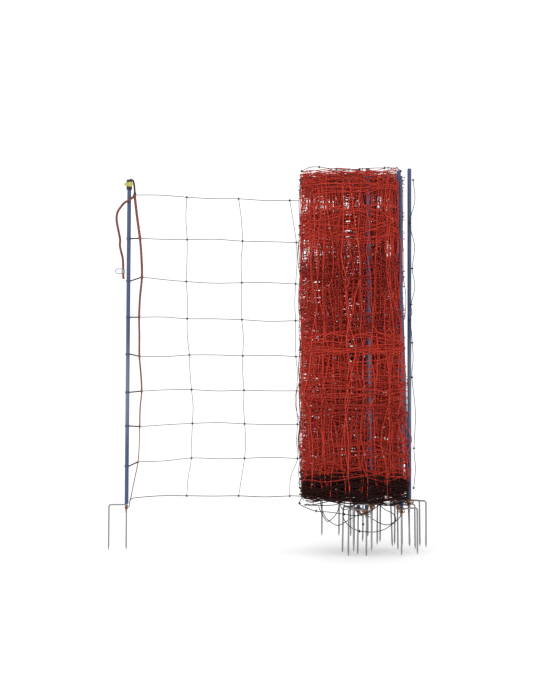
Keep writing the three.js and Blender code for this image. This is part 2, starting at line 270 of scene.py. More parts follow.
def swept(line, radius, sides, across=(0.0, 1.0, 0.0), lobes=0, depth=0.0, lay=0.04):
    """A round or lobed section carried along a line. The section's radius at angle a and run s is
    radius * (1 - depth + depth * |cos(lobes / 2 * (a - 2 pi s / lay))|), and its first axis is the
    line's direction crossed with the across direction. Returns vertices, face corners, face sizes
    and chart places."""
    line = np.asarray(line, float)
    along = np.gradient(line, axis=0)
    along /= np.linalg.norm(along, axis=1, keepdims=True)
    first = np.cross(along, np.asarray(across, float))
    first /= np.linalg.norm(first, axis=1, keepdims=True)
    second = np.cross(along, first)
    run = np.concatenate([[0.0], np.cumsum(np.linalg.norm(np.diff(line, axis=0), axis=1))])
    angle = np.arange(sides) * 2 * np.pi / sides
    lobe = np.abs(np.cos(lobes / 2 * (angle[None] - 2 * np.pi * run[:, None] / lay)))
    reach = np.broadcast_to(radius, len(line))[:, None] * (1 - depth + depth * lobe)
    cos, sin = np.cos(angle)[None, :, None], np.sin(angle)[None, :, None]
    ring = cos * first[:, None] + sin * second[:, None]
    vertices = (line[:, None] + reach[..., None] * ring).reshape(-1, 3)
    i, j = np.meshgrid(np.arange(len(line) - 1), np.arange(sides), indexing="ij")
    k = (j + 1) % sides
    sides_quads = np.stack([i * sides + j, i * sides + k, (i + 1) * sides + k, (i + 1) * sides + j], -1)
    around = np.stack([j, j + 1, j + 1, j], -1) / sides
    length = np.stack([run[i], run[i], run[i + 1], run[i + 1]], -1)
    caps = np.concatenate([np.arange(sides)[::-1], (len(line) - 1) * sides + np.arange(sides)])
    corners = np.concatenate([sides_quads.ravel(), caps])
    sizes = np.concatenate([np.full(i.size, 4), [sides, sides]])
    cap_chart = np.zeros((2 * sides, 2))
    chart = np.concatenate([np.stack([length.ravel(), around.ravel()], -1), cap_chart])
    return vertices, corners, sizes, chart


def mesh_piece(name, surfaces, material, node_names=(), tones=None):
    """Joins surfaces into one smooth mesh object that rides on the root body and stands for the
    named solids. Each surface may have its own tone, for its material to read."""
    offsets = np.cumsum([0] + [len(s[0]) for s in surfaces[:-1]])
    vertices = np.concatenate([s[0] for s in surfaces])
    corners = np.concatenate([s[1] + start for s, start in zip(surfaces, offsets)])
    sizes = np.concatenate([s[2] for s in surfaces])
    chart = np.concatenate([s[3] for s in surfaces])
    mesh = bpy.data.meshes.new(name)
    mesh.vertices.add(len(vertices))
    mesh.vertices.foreach_set("co", vertices.astype(np.float32).ravel())
    mesh.loops.add(len(corners))
    mesh.loops.foreach_set("vertex_index", corners.astype(np.int32))
    mesh.polygons.add(len(sizes))
    starts = np.concatenate([[0], np.cumsum(sizes)[:-1]])
    mesh.polygons.foreach_set("loop_start", starts.astype(np.int32))
    mesh.polygons.foreach_set("use_smooth", np.ones(len(sizes), bool))
    mesh.update(calc_edges=True)
    layer = mesh.uv_layers.new(name="chart")
    layer.uv.foreach_set("vector", chart.astype(np.float32).ravel())
    if tones is not None:
        spread = np.concatenate([np.full(len(s[0]), tone) for s, tone in zip(surfaces, tones)])
        tone_layer = mesh.attributes.new("tone", "FLOAT", "POINT")
        tone_layer.data.foreach_set("value", spread.astype(np.float32))
    mesh.validate()
    mesh.materials.append(material)
    piece = bpy.data.objects.new(name, mesh)
    bpy.context.scene.collection.objects.link(piece)
    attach(piece, "root")
    if node_names:
        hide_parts(*node_names)
    return piece


def rope_finish(name, light, dark, thread, strands, lay):
    """Laid rope: strands wind round the cord once every lay, each with fine yarns of its own and
    a dark line where it meets the next."""
    finish = Finish(name)
    run, around, _ = finish.axes(finish.chart())
    wind = (around - run / lay) * strands
    groove = (wind * np.pi).sine() ** 2.0
    yarn = ((wind * 5.0 + run * 260.0) * np.pi).sine() * 0.5 + 0.5
    fade = finish.noise(60.0)
    tint = finish.mix((fade * 1.6 - 0.3).clamped(), light, dark)
    steel_line = (((wind * 0.5 + 0.13) * np.pi * 2.0).sine() * 6.0 - 5.2).clamped()
    tint = finish.mix(steel_line * 0.7, tint, thread)
    tint = finish.mix((1.0 - groove) ** 3.0 * 0.75, tint, paint(30, 8, 6))
    relief = groove * 0.8 + yarn * 0.2
    return finish.shade(
        Base_Color=tint, Roughness=yarn * 0.15 + 0.5, Normal=finish.bump(relief, 0.7, 0.0006)
    )


lead_rope = rope_finish(
    "lead_rope", paint(150, 58, 46), paint(88, 22, 18), paint(176, 160, 150), 8.0, LEAD_LAY
)
lead_line = on_panel(smooth_line(LEAD_ROUTE, 0.0015))
lead = mesh_piece(
    "lead_rope",
    [swept(lead_line, LEAD_DIAMETER / 2, 24, lobes=8, depth=0.14, lay=LEAD_LAY)],
    lead_rope,
    ["lead_cord"],
)

# Lead clip: a D-shaped ring cut from galvanised wire with a sleeve crimped round the lead's end.
# The other net's clip or the fencer's hook goes through it.
CLIP_DROP = 0.272
CLIP_HEIGHT = LEAD_START[2] - CLIP_DROP
CLIP_REACH = np.array([-0.0105 - LEAD_DIAMETER / 2, -0.0045])
SLEEVE_PLACE, SLEEVE_RADIUS, SLEEVE_CRIMP = (-0.0106, -0.0046), 0.0061, 0.0006
CLIP_WIDTH, CLIP_TALL, CLIP_WIRE = 0.026, 0.019, 0.003


def steel_finish(name, light, dark, grain):
    """Hot-dip zinc: patches of slightly different grey, faint streaks, and dull worn spots."""
    finish = Finish(name)
    patch = finish.node("TexVoronoi", {}, {"Vector": finish.place(), "Scale": grain})
    spots = finish.noise(grain * 0.35, 5.0)
    tint = finish.mix((finish.noise(grain, 2.0) * 1.8 - 0.4).clamped(), light, dark)
    tint = finish.mix((spots * 5.0 - 3.1).clamped() * 0.35, tint, paint(126, 112, 98))
    return finish.shade(
        Base_Color=tint,
        Metallic=0.85,
        Roughness=patch * 0.12 + spots * 0.2 + 0.32,
        Normal=finish.bump(spots, 0.25, 0.0004),
    )


galvanised = steel_finish("galvanised_steel", paint(160, 160, 163), paint(128, 130, 135), 420.0)
bend = (CLIP_TALL - CLIP_WIRE) / 2
flat_run = CLIP_WIDTH - CLIP_TALL / 2 - CLIP_WIRE / 2
turn = np.linspace(np.pi / 2, 3 * np.pi / 2, 9)
ring_x = np.concatenate([[0.0, -flat_run / 2], -flat_run + bend * np.cos(turn), [-flat_run / 2, 0.0]])
ring_z = np.concatenate([[bend, bend], bend * np.sin(turn), [-bend, -bend]])
corner_turn = np.array([[0.0012, -bend * 0.75], [0.0014, 0.0], [0.0012, bend * 0.75], [0.0, bend]])
ring_x = np.concatenate([ring_x, corner_turn[:, 0]])
ring_z = np.concatenate([ring_z, corner_turn[:, 1]])
ring_line = np.stack(
    [CLIP_REACH[0] + ring_x, np.full(len(ring_x), CLIP_REACH[1]), CLIP_HEIGHT + ring_z], 1
)
sleeve_run = np.linspace(-bend, bend, 13)
sleeve_line = np.stack(
    [np.full(13, SLEEVE_PLACE[0]), np.full(13, SLEEVE_PLACE[1]), CLIP_HEIGHT + sleeve_run], 1
)
sleeve_radius = SLEEVE_RADIUS - SLEEVE_CRIMP * np.cos(sleeve_run / bend * np.pi * 3) ** 2
mesh_piece(
    "lead_clip_ring",
    [
        swept(on_panel(smooth_line(ring_line, 0.001)), CLIP_WIRE / 2, 12),
        swept(on_panel(sleeve_line), sleeve_radius, 20),
    ],
    galvanised,
    ["lead_clip"],
)

# End cord: the ends of the live strands twisted together up the post, one strand more at each
# row, so it is a single thread at the foot and a thick rope under the cap.
ROW_HEIGHTS = 0.185 + np.concatenate(
    [[0.0], np.cumsum([0.135, 0.124, 0.121, 0.124, 0.130, 0.133, 0.150, 0.152])]
)
END_CORD_REACH = 0.001 * np.array([15.0, 42, 48, 55, 47, 46, 56, 49, 30])
END_CORD_RISE = 0.001 * np.array([-9.5, -8.5, -7, -1.5, -1.5, 8, 18, 6, 8])
STRAND_RADIUS, TWIST_LOFT, KNOT_SWELL = 0.0013, 1.4, 0.0012
END_CORD_LAY = 0.03
TOP_ROW = 8

cord_knots = np.stack([END_CORD_REACH, np.zeros(9), ROW_HEIGHTS + END_CORD_RISE], 1)
cord_stops = []
for row in range(TOP_ROW):
    middle = (cord_knots[row] + cord_knots[row + 1]) / 2
    middle[0] += 0.002 * np.sin(2.3 * row)
    cord_stops += [cord_knots[row], middle]
cord_stops.append(cord_knots[TOP_ROW])
cord_line = smooth_line(cord_stops, 0.002)
cord_rank = np.interp(cord_line[:, 2], cord_knots[:, 2], np.arange(9))
cord_radius = STRAND_RADIUS * TWIST_LOFT * np.sqrt(np.clip(np.floor(cord_rank + 0.02), 1, 8))
cord_radius = np.convolve(np.pad(cord_radius, 4, mode="edge"), np.ones(9) / 9, mode="valid")
near_knot = np.exp(-(((cord_line[:, None, 2] - cord_knots[None, :, 2]) / 0.0045) ** 2)).sum(1)
cord_radius += KNOT_SWELL * near_knot
end_rope = rope_finish(
    "end_rope", paint(156, 62, 48), paint(88, 24, 18), paint(170, 156, 148), 4.0, END_CORD_LAY
)
mesh_piece(
    "end_rope",
    [swept(on_panel(cord_line), cord_radius, 20, lobes=4, depth=0.2, lay=END_CORD_LAY)],
    end_rope,
    ["end_cord"],
)

# Drawn-out net: nine horizontal strands and three uprights of thin twisted polywire. The base
# strand is plain black and carries no current.
FIRST_COLUMN, COLUMN_SPACING = 0.225, 0.194
BASE_RADIUS, UPRIGHT_RADIUS = 0.0016, 0.0011
STRAND_SAG = 0.004
LIVE_TWIST = {"lobes": 3, "depth": 0.22, "lay": 0.011}
ROW_TWIST = {"lobes": 3, "depth": 0.22, "lay": 0.012}
BASE_TWIST = {"lobes": 3, "depth": 0.22, "lay": 0.014}


def crossing(row, column):
    """Where a horizontal strand meets an upright: even columns that wander by a slow sine, pulled
    in at the top and base strands."""
    wander = 0.011 / column * np.sin(np.pi * row / 4 + 0.3 * (column - 1))
    pull = 0.009 * column if row in (0, TOP_ROW) else 0.0
    along = FIRST_COLUMN + COLUMN_SPACING * (column - 1) + wander - pull
    return np.array([along, 0.0, ROW_HEIGHTS[row] - 0.003 * (column - 2)])


def strand_finish(name, light, dark, thread, shine, strands=3.0, lay=0.011):
    """Twisted polywire: plastic strands wound round each other with a thin steel thread, each
    length of strand a little lighter or darker by its tone."""
    finish = Finish(name)
    run, around, _ = finish.axes(finish.chart())
    tone = finish.node("Attribute", {"attribute_name": "tone"}, {}, 2)
    wind = (around - run / lay) * strands
    groove = (wind * np.pi).sine() ** 2.0
    fade = finish.noise(35.0, 2.0)
    tint = finish.mix((tone * 0.75 + fade * 0.5 - 0.12).clamped(), dark, light)
    steel_line = ((wind * np.pi * 2.0 / strands).sine() * 8.0 - 7.2).clamped()
    tint = finish.mix(steel_line * 0.6, tint, thread)
    tint = finish.mix((1.0 - groove) ** 3.0 * 0.5, tint, dark)
    return finish.shade(
        Base_Color=tint,
        Roughness=groove * 0.1 + 0.42,
        Specular_IOR_Level=shine,
        Normal=finish.bump(groove, 0.6, 0.0004),
    )


drawn_strand = strand_finish(
    "drawn_out_strand", paint(88, 66, 60), paint(30, 19, 17), paint(132, 128, 124), 0.25
)
black_strand = strand_finish("base_strand", paint(34, 28, 27), paint(8, 7, 8), paint(44, 42, 42), 0.2)


def horizontal_stops(row, start):
    """A row's points from its start to the folds: its crossings, and half way between them a
    sag of 4 mm for a full mesh times a sine of the row and bay."""
    stops = [start] + [crossing(row, column) for column in (1, 2, 3)]
    stops.append(np.array([PANEL_WIDTH - 0.0006, 0.0, ROW_HEIGHTS[row] - 0.004]))
    line = [stops[0]]
    for i in range(1, len(stops)):
        middle = (stops[i] + stops[i - 1]) / 2
        share = np.linalg.norm(stops[i] - stops[i - 1]) / COLUMN_SPACING
        middle[2] += STRAND_SAG * share * np.sin(2.4 * row + 1.7 * i)
        line += [middle, stops[i]]
    return line


for row in range(1, TOP_ROW + 1):
    line = on_panel(smooth_line(horizontal_stops(row, cord_knots[row]), 0.003))
    mesh_piece(
        f"drawn_strand_{row}",
        [swept(line, STRAND_RADIUS, 9, across=(0, 0, 1), **ROW_TWIST)],
        drawn_strand,
        [f"live_strand_{row}"],
        tones=[0.5],
    )

knot_foot = cord_knots[0]
base_start = np.array([0.0075 + BASE_RADIUS + 0.0006, 0.0, 0.148])
base_stops = [base_start, [(base_start[0] + knot_foot[0]) / 2, 0.0, knot_foot[2] - 0.009], knot_foot]
base_stops += horizontal_stops(0, np.array([knot_foot[0] + 0.014, 0.0, 0.183]))
base_line = on_panel(smooth_line(base_stops, 0.003))
mesh_piece(
    "drawn_base_strand",
    [swept(base_line, BASE_RADIUS, 9, **BASE_TWIST)],
    black_strand,
    ["base_strand"],
    tones=[0.4],
)

# Moulded knots: a lump of black plastic shot round each crossing, with a short collar along each
# strand that leaves it.
KNOT_RADIUS = 0.0034
SLACK_BAY, SLACK_BULGE = (1, 3), 0.014


def knots(centres, radius, columns, rows, turns=None):
    """One lump for each centre. Its radius in direction (x, y, z) is radius times
    0.9 + 0.75 x^8 + 0.75 z^8, flattened a little in y, over even steps of longitude and height."""
    across = np.arange(columns) * 2 * np.pi / columns
    down = np.linspace(0, np.pi, rows + 1)[1:-1]
    longitude, height = np.meshgrid(across, down)
    way = np.stack(
        [np.sin(height) * np.cos(longitude), np.sin(height) * np.sin(longitude), np.cos(height)], -1
    ).reshape(-1, 3)
    way = np.vstack([[0, 0, 1.0], way, [0, 0, -1.0]])
    reach = 0.9 + 0.75 * way[:, 0] ** 8 + 0.75 * way[:, 2] ** 8
    lump = way * reach[:, None] * np.array([1.0, 0.85, 1.0]) * radius
    centres = np.asarray(centres, float)
    angles = np.zeros(len(centres)) if turns is None else turns
    cos, sin = np.cos(angles)[:, None], np.sin(angles)[:, None]
    x = lump[None, :, 0] * cos - lump[None, :, 1] * sin
    y = lump[None, :, 0] * sin + lump[None, :, 1] * cos
    z = np.broadcast_to(lump[None, :, 2], x.shape)
    vertices = (np.stack([x, y, z], -1) + centres[:, None]).reshape(-1, 3)

    j = np.arange(columns)
    k = (j + 1) % columns
    lowest = 1 + (rows - 2) * columns
    top = np.stack([np.zeros(columns, int), 1 + j, 1 + k], -1)
    bottom = np.stack([lowest + k, lowest + j, np.full(columns, len(lump) - 1)], -1)
    start = 1 + columns * np.arange(rows - 2)[:, None]
    quads = np.stack([start + j, start + columns + j, start + columns + k, start + k], -1)
    one = np.concatenate([top.ravel(), bottom.ravel(), quads.ravel()])
    one_sizes = np.concatenate([np.full(2 * columns, 3), np.full((rows - 2) * columns, 4)])
    corners = (one[None] + (np.arange(len(centres)) * len(lump))[:, None]).ravel()
    sizes = np.tile(one_sizes, len(centres))
    return vertices, corners, sizes, np.zeros((len(corners), 2))


def moulded_finish(name, light, dark, gloss):
    """Moulded plastic: an even colour with faint flow marks and a fine matt grain."""
    finish = Finish(name)
    flow = finish.noise(90.0, 4.0)
    grain = finish.noise(1500.0, 2.0)
    tint = finish.mix((flow * 2.0 - 0.5).clamped(), light, dark)
    return finish.shade(
        Base_Color=tint, Roughness=grain * 0.12 + gloss, Normal=finish.bump(grain, 0.15, 0.0002)
    )


knot_black = moulded_finish("knot_plastic", paint(34, 20, 18), paint(14, 10, 10), 0.4)
for column in (1, 2, 3):
    stops = []
    for row in range(9):
        here = crossing(row, column)
        if row:
            middle = (here + crossing(row - 1, column)) / 2
            middle[0] += STRAND_SAG * np.sin(1.9 * row + 2.2 * column)
            if (row, column) == SLACK_BAY:
                middle[0] -= SLACK_BULGE
            stops.append(middle)
        stops.append(here)
    line = on_panel(smooth_line(stops, 0.003))
    places = on_panel([crossing(row, column) for row in range(9)])
    mesh_piece(
        f"drawn_upright_{column}",
        [swept(line, UPRIGHT_RADIUS, 9, **LIVE_TWIST)],
        drawn_strand,
        [f"upright_strand_{column}"],
        tones=[0.5],
    )
    mesh_piece(
        f"drawn_knots_{column}",
        [knots(places, KNOT_RADIUS, 16, 12, np.full(9, PANEL_TURN))],
        knot_black,
    )

# Posts: extruded slate-blue plastic stakes with a bevelled top, scuffed along their length, each
# with a double spike of galvanised rod pushed up into its foot and a step bar for the boot.
POST_LENGTH, POST_RADIUS, TUBE_FOOT = 1.150, 0.0070, 0.1633
END_POST_LEAN = 0.5
SPIKE_REACH, SPIKE_RADIUS, PRONG_SPACING, PRONG_BEND = 0.160, 0.0030, 0.062, 0.008
LEAF_PITCH = 0.021
FOLDED_POSTS = [
    (0.2287, 0.040, -1, 1, 0.4),
    (0.1257, 0.040, -1, 1, -0.3),
    (0.0837, 0.024, -1, -2, 0.5),
    (0.0217, 0.0, 1, 4, -0.6),
    (0.0357, 0.020, -1, 2, 0.3),
    (-0.0160, 0.020, -1, 0, -2.0),
    (0.1207, 0.015, -1, -2, 0.7),
    (0.0157, 0.024, 1, -1, -0.5),
    (0.1727, 0.0, -1, -35, 0.9),
    (0.0217, 0.0, 1, 22, -0.2),
    (0.1457, 0.0, -1, -5, 0.5),
    (0.1287, 0.021, -1, 1, -0.6),
]


def post_finish():
    """Weathered blue plastic: fine drawn streaks along the post, a paler band at half its height, and
    dark scuffs."""
    finish = Finish("post_plastic")
    place = finish.place()
    _, _, height = finish.axes(place)
    stretched = finish.node("Mapping", {}, {"Vector": place, "Scale": (1.0, 1.0, 0.03)})
    streak = finish.noise(420.0, 3.0, stretched)
    cloud = finish.noise(14.0, 4.0)
    from_middle = (height - 0.57) / 0.2
    # A paler blue band round the middle of the post's height, fading out above and below.
    pale_band = (1.05 - from_middle * from_middle + cloud * 0.5 - 0.3).clamped()
    tint = finish.mix((streak * 1.6 - 0.3).clamped(), paint(54, 68, 100), paint(72, 87, 118))
    tint = finish.mix(pale_band * 0.75, tint, paint(112, 119, 140))
    scuff = (finish.noise(55.0, 6.0, stretched) * 6.0 - 3.9).clamped()
    tint = finish.mix(scuff * 0.45, tint, paint(62, 48, 74))
    return finish.shade(
        Base_Color=tint,
        Roughness=streak * 0.2 + 0.38,
        Specular_IOR_Level=0.3,
        Normal=finish.bump(streak, 0.3, 0.0003),
    )


post_plastic = post_finish()


def stood(line, foot, turn, lean):
    """Turns points about Z, leans them about Y and moves them to a post's foot."""
    line = np.asarray(line, float)
    cos, sin = np.cos(turn), np.sin(turn)
    line = line @ np.array([[cos, sin, 0], [-sin, cos, 0], [0, 0, 1]])
    cos, sin = np.cos(lean), np.sin(lean)
    return line @ np.array([[cos, 0, -sin], [0, 1, 0], [sin, 0, cos]]) + np.asarray(foot, float)


def moved(surface, place):
    return (place(surface[0]), *surface[1:])


def upright_profile(profile, sides):
    """A turned piece about Z: each [radius, height] pair is swept round the axis."""
    profile = np.asarray(profile, float)
    line = np.stack([np.zeros(len(profile)), np.zeros(len(profile)), profile[:, 1]], 1)
    angle = np.arange(sides) * 2 * np.pi / sides
    ring = np.stack([np.cos(angle), np.sin(angle), np.zeros(sides)], 1)
    vertices = (line[:, None] + profile[:, None, :1] * ring[None]).reshape(-1, 3)
    i, j = np.meshgrid(np.arange(len(profile) - 1), np.arange(sides), indexing="ij")
    k = (j + 1) % sides
    quads = np.stack([i * sides + j, i * sides + k, (i + 1) * sides + k, (i + 1) * sides + j], -1)
    caps = np.concatenate([np.arange(sides)[::-1], (len(profile) - 1) * sides + np.arange(sides)])
    corners = np.concatenate([quads.ravel(), caps])
    sizes = np.concatenate([np.full(i.size, 4), [sides, sides]])
    around = np.stack([j, j + 1, j + 1, j], -1) / sides
    height = np.stack([profile[i, 1], profile[i, 1], profile[i + 1, 1], profile[i + 1, 1]], -1)
    chart = np.stack([height.ravel(), around.ravel()], -1)
    return vertices, corners, sizes, np.concatenate([chart, np.zeros((2 * sides, 2))])


stake_profile = [
    (0.0035, TUBE_FOOT + 0.0004),
    (0.0068, TUBE_FOOT),
    (0.0070, TUBE_FOOT + 0.0006),
    (0.0070, TUBE_FOOT + 0.3),
    (0.0070, TUBE_FOOT + 0.6),
    (0.0070, TUBE_FOOT + 0.9),
    (0.0070, TUBE_FOOT + POST_LENGTH - 0.0032),
    (0.0066, TUBE_FOOT + POST_LENGTH - 0.0016),
    (0.0058, TUBE_FOOT + POST_LENGTH - 0.0006),
    (0.0045, TUBE_FOOT + POST_LENGTH),
]


def spike_surfaces():
    """The double spike: a straight prong up into the post, a step bar, a bend and the outer prong,
    both with a drawn point."""
    point = [(0.0012, 0.0), (0.0013, 0.0004), (0.0026, 0.009), (0.0030, 0.013)]
    main = upright_profile(point + [(0.0030, 0.08), (0.0030, TUBE_FOOT + 0.05)], 14)
    turn = np.linspace(0.0, np.pi / 2, 8)
    bar_end = PRONG_SPACING - PRONG_BEND
    bend_x = bar_end + PRONG_BEND * np.sin(turn)
    bend_z = SPIKE_REACH - PRONG_BEND + PRONG_BEND * np.cos(turn)
    x = np.concatenate([[0.0, 0.004, bar_end / 2], bend_x, np.full(4, PRONG_SPACING)])
    z = np.concatenate([np.full(3, SPIKE_REACH), bend_z, [0.1, 0.05, 0.013, 0.0]])
    radius = np.concatenate([np.full(len(x) - 1, SPIKE_RADIUS), [0.0012]])
    arm = swept(np.stack([x, np.zeros(len(x)), z], 1), radius, 14)
    weld = [
        (0.0031, SPIKE_REACH - 0.006),
        (0.0042, SPIKE_REACH - 0.003),
        (0.0044, SPIKE_REACH),
        (0.0031, TUBE_FOOT - 0.0002),
    ]
    return [main, arm, upright_profile(weld, 14)]


def post_foot(pocket):
    from_right, lift = FOLDED_POSTS[pocket - 1][:2]
    return (FOLD_RIGHT - from_right, FIRST_LEAF - LEAF_PITCH * (pocket - 0.5), lift)


posts = [("end_post", PANEL_FOOT, np.pi, np.radians(END_POST_LEAN), PANEL_TURN)]
for pocket, (_, _, side, turn, lean) in enumerate(FOLDED_POSTS, start=1):
    spin = np.radians(turn) + (np.pi if side < 0 else 0.0)
    posts.append((f"folded_post_{pocket}", post_foot(pocket), spin, np.radians(lean), 0.0))
LAST_POST_FOOT = (FOLD_RIGHT + POST_RADIUS + 0.0003, FIRST_LEAF - LEAF_PITCH * 8.5, 0.028)
posts.append(("last_post", LAST_POST_FOOT, np.radians(-29.0), 0.0, 0.0))


def standing(foot, spin, lean, panel_turn):
    """Where a post's points go: spun and leant about its foot, then turned with the panel."""

    def place(points):
        leant = stood(points, (0, 0, 0), spin, lean)
        return stood(leant, foot, panel_turn, 0.0)

    return place


for name, foot, spin, lean, panel_turn in posts:
    place = standing(foot, spin, lean, panel_turn)
    stake = moved(upright_profile(stake_profile, 24), standing(foot, 0.0, lean, panel_turn))
    mesh_piece(f"{name}_blue_stake", [stake], post_plastic, [f"{name}_stake"])
    spikes = [moved(surface, place) for surface in spike_surfaces()]
    mesh_piece(f"{name}_steel_spike", spikes, galvanised, [f"{name}_double_spike"])

# Twine ties: orange-brown twine wound and knotted round each spike under the step bar, to hold
# the base strand at the foot of the post. Tails hang free.
TWINE_LAY = 0.006
twine = rope_finish(
    "tie_twine", paint(178, 118, 78), paint(120, 66, 40), paint(196, 160, 120), 3.0, TWINE_LAY
)


def tie_surfaces(seed, tangle):
    """Turns of a helix round the prong with a knot lump, two tails, and a tangle of loose loops: a
    curve through points drawn evenly in a box that is `tangle` wide."""
    draw = np.random.default_rng(seed)
    twist = {"lobes": 3, "depth": 0.25, "lay": TWINE_LAY}
    turns = np.linspace(0, 2 * np.pi * 4.6, 90)
    wind_radius = 0.0030 + 0.0011 + 0.0009 * np.abs(np.sin(turns * 0.53 + seed))
    height = SPIKE_REACH - 0.0065 - 0.0095 * turns / turns[-1]
    helix = np.stack([wind_radius * np.cos(turns), wind_radius * np.sin(turns), height], 1)
    side = draw.uniform(-2.4, -0.7)
    knot = np.array([0.0052 * np.cos(side), 0.0052 * np.sin(side), SPIKE_REACH - 0.012])
    surfaces = [swept(smooth_line(helix, 0.0012), 0.0010, 7, across=(0, 0, 1), **twist)]
    for tail in range(2):
        sway = draw.uniform(-0.008, 0.004)
        drop = draw.uniform(0.010, 0.018)
        stops = knot + np.array([[0, 0, 0], [sway * 0.6, -0.002, -drop * 0.4], [sway, -0.0025, -drop]])
        surfaces.append(swept(smooth_line(stops, 0.0015), 0.0009, 7, **twist))
    count = int(tangle / 0.001)
    spread = draw.uniform(-0.5, 0.5, (count, 3)) * np.array([1.1, 0.35, 0.8]) * tangle
    loops = np.array([0.0, -0.0062 - 0.2 * tangle, SPIKE_REACH - 0.006]) + spread
    surfaces.append(swept(smooth_line(loops, 0.0016), 0.0011, 7, **twist))
    surfaces.append(knots([knot], 0.0024, 12, 9))
    return surfaces


SMALL_TANGLE, WIDE_TANGLE = 0.012, 0.024
WIDE_TIES = ("folded_post_9", "folded_post_10", "folded_post_11", "folded_post_12", "last_post")
for number, (name, foot, spin, lean, panel_turn) in enumerate(posts):
    place = standing(foot, 0.0, lean, panel_turn)
    tangle = WIDE_TANGLE if name in WIDE_TIES else SMALL_TANGLE
    ties = [moved(surface, place) for surface in tie_surfaces(number, tangle)]
    stands_for = ["end_post_foot_tie"] if name == "end_post" else []
    mesh_piece(f"{name}_twine_tie", ties, twine, stands_for)

# End post's fittings: the moulded cap with its hooked arm, the yellow locking lever and the seven
# clips that hold the live strands off the post. All are injection mouldings.
cap_black = moulded_finish("black_moulding", paint(34, 30, 28), paint(14, 12, 12), 0.4)
lever_yellow = moulded_finish("yellow_moulding", paint(196, 190, 92), paint(140, 136, 44), 0.4)
CLIP_RING = 0.0097


def clip_finish():
    """A clip's ring in the post's blue and its arm in black: the ring is what lies within its own
    radius of the leaning post's axis, where the distance squared is dx^2 + dy^2."""
    finish = Finish("clip_plastic")
    x, y, z = finish.axes(finish.place())
    slope = np.tan(np.radians(END_POST_LEAN))
    dx = x - (z * (slope * np.cos(PANEL_TURN)) + PANEL_FOOT[0])
    dy = y - (z * (slope * np.sin(PANEL_TURN)) + PANEL_FOOT[1])
    arm = ((dx * dx + dy * dy) * (1.0 / CLIP_RING**2) * 12.0 - 12.0).clamped()
    grain = finish.noise(1500.0, 2.0)
    return finish.shade(
        Base_Color=finish.mix(arm, paint(62, 74, 104), paint(22, 16, 15)),
        Roughness=grain * 0.12 + 0.4,
        Specular_IOR_Level=0.3,
        Normal=finish.bump(grain, 0.15, 0.0002),
    )


clip_plastic = clip_finish()
for node, finish in [("end_post_cap", cap_black), ("end_post_cap_lever", lever_yellow)] + [
    (f"end_post_clip_{row}", clip_plastic) for row in range(1, TOP_ROW)
]:
    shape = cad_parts[node]
    for place in shape.material_slots:
        place.material = finish

# Folded net: thirteen spans of net, folded to and fro in short passes with the posts between
# them. Every strand is drawn on its own, slack between its knots, and stays clear of the posts.
# The last span lies over the front posts, so it is folded in more and looser passes. The front
# spans' base strand is slack enough to cross the fold twice. Fronts of the folds draw in towards
# the top right, where two posts show beside them.
MESH_WIDTH = 0.1925
PASSES = [11, 10, 10, 10, 10, 10, 10, 10, 10, 10, 12, 16, 32]
FRONT_FOLD = -0.1425
ROW_STRETCH, ROW_LIFT, BASE_ROW_HEIGHT = 1.0225, 0.0078, 0.237
TOP_EDGE, OVER_POST = 1.3315, 0.352
LOOSE_FRONT = (12, 13)
STRAND_ROOM = POST_RADIUS + 0.0022
SPAN_DEPTH = 0.0196
PART_START, PART_LEAN = 0.2637, 0.0281
red_strand = strand_finish(
    "live_strand", paint(226, 66, 46), paint(112, 8, 4), paint(206, 150, 134), 0.1
)
folded_black = strand_finish("folded_base", paint(66, 30, 26), paint(9, 3, 3), paint(58, 34, 30), 0.08)
knot_red = moulded_finish("knot_plastic_red", paint(70, 14, 10), paint(36, 9, 7), 0.42)
fold_rows = ROW_LIFT + ROW_STRETCH * ROW_HEIGHTS
fold_rows[0] = BASE_ROW_HEIGHT


def clear_of_posts(points, room):
    """Moves points straight out from each leaning post's axis in plan: a point at distance d goes
    to (d^3 + room^3)^(1/3), so near points come clear of the post and far ones hardly move."""
    points = np.array(points, float)
    for _, foot, _, lean, _ in posts[1:]:
        rise = points[:, 2] - foot[2]
        axis_x = foot[0] + rise * np.tan(lean)
        dx, dy = points[:, 0] - axis_x, points[:, 1] - foot[1]
        distance = np.maximum(np.hypot(dx, dy), 1e-5)
        beside = (rise > SPIKE_REACH - 0.010) & (rise < TUBE_FOOT + POST_LENGTH + 0.004)
        wanted = np.where(beside, (distance**3 + room**3) ** (1 / 3), distance)
        points[:, 0] = axis_x + dx * wanted / distance
        points[:, 1] = foot[1] + dy * wanted / distance
    return points


def part_line(height, depth):
    """Where the folds part: a line that leans with height, x = start + lean * (1.22 - height) on
    the front fold, and runs back through the leaves as the lines of sight do."""
    reach = (depth - EYE[1]) / (FRONT_FOLD - EYE[1])
    return EYE[0] + (PART_START + PART_LEAN * (1.22 - height)) * reach


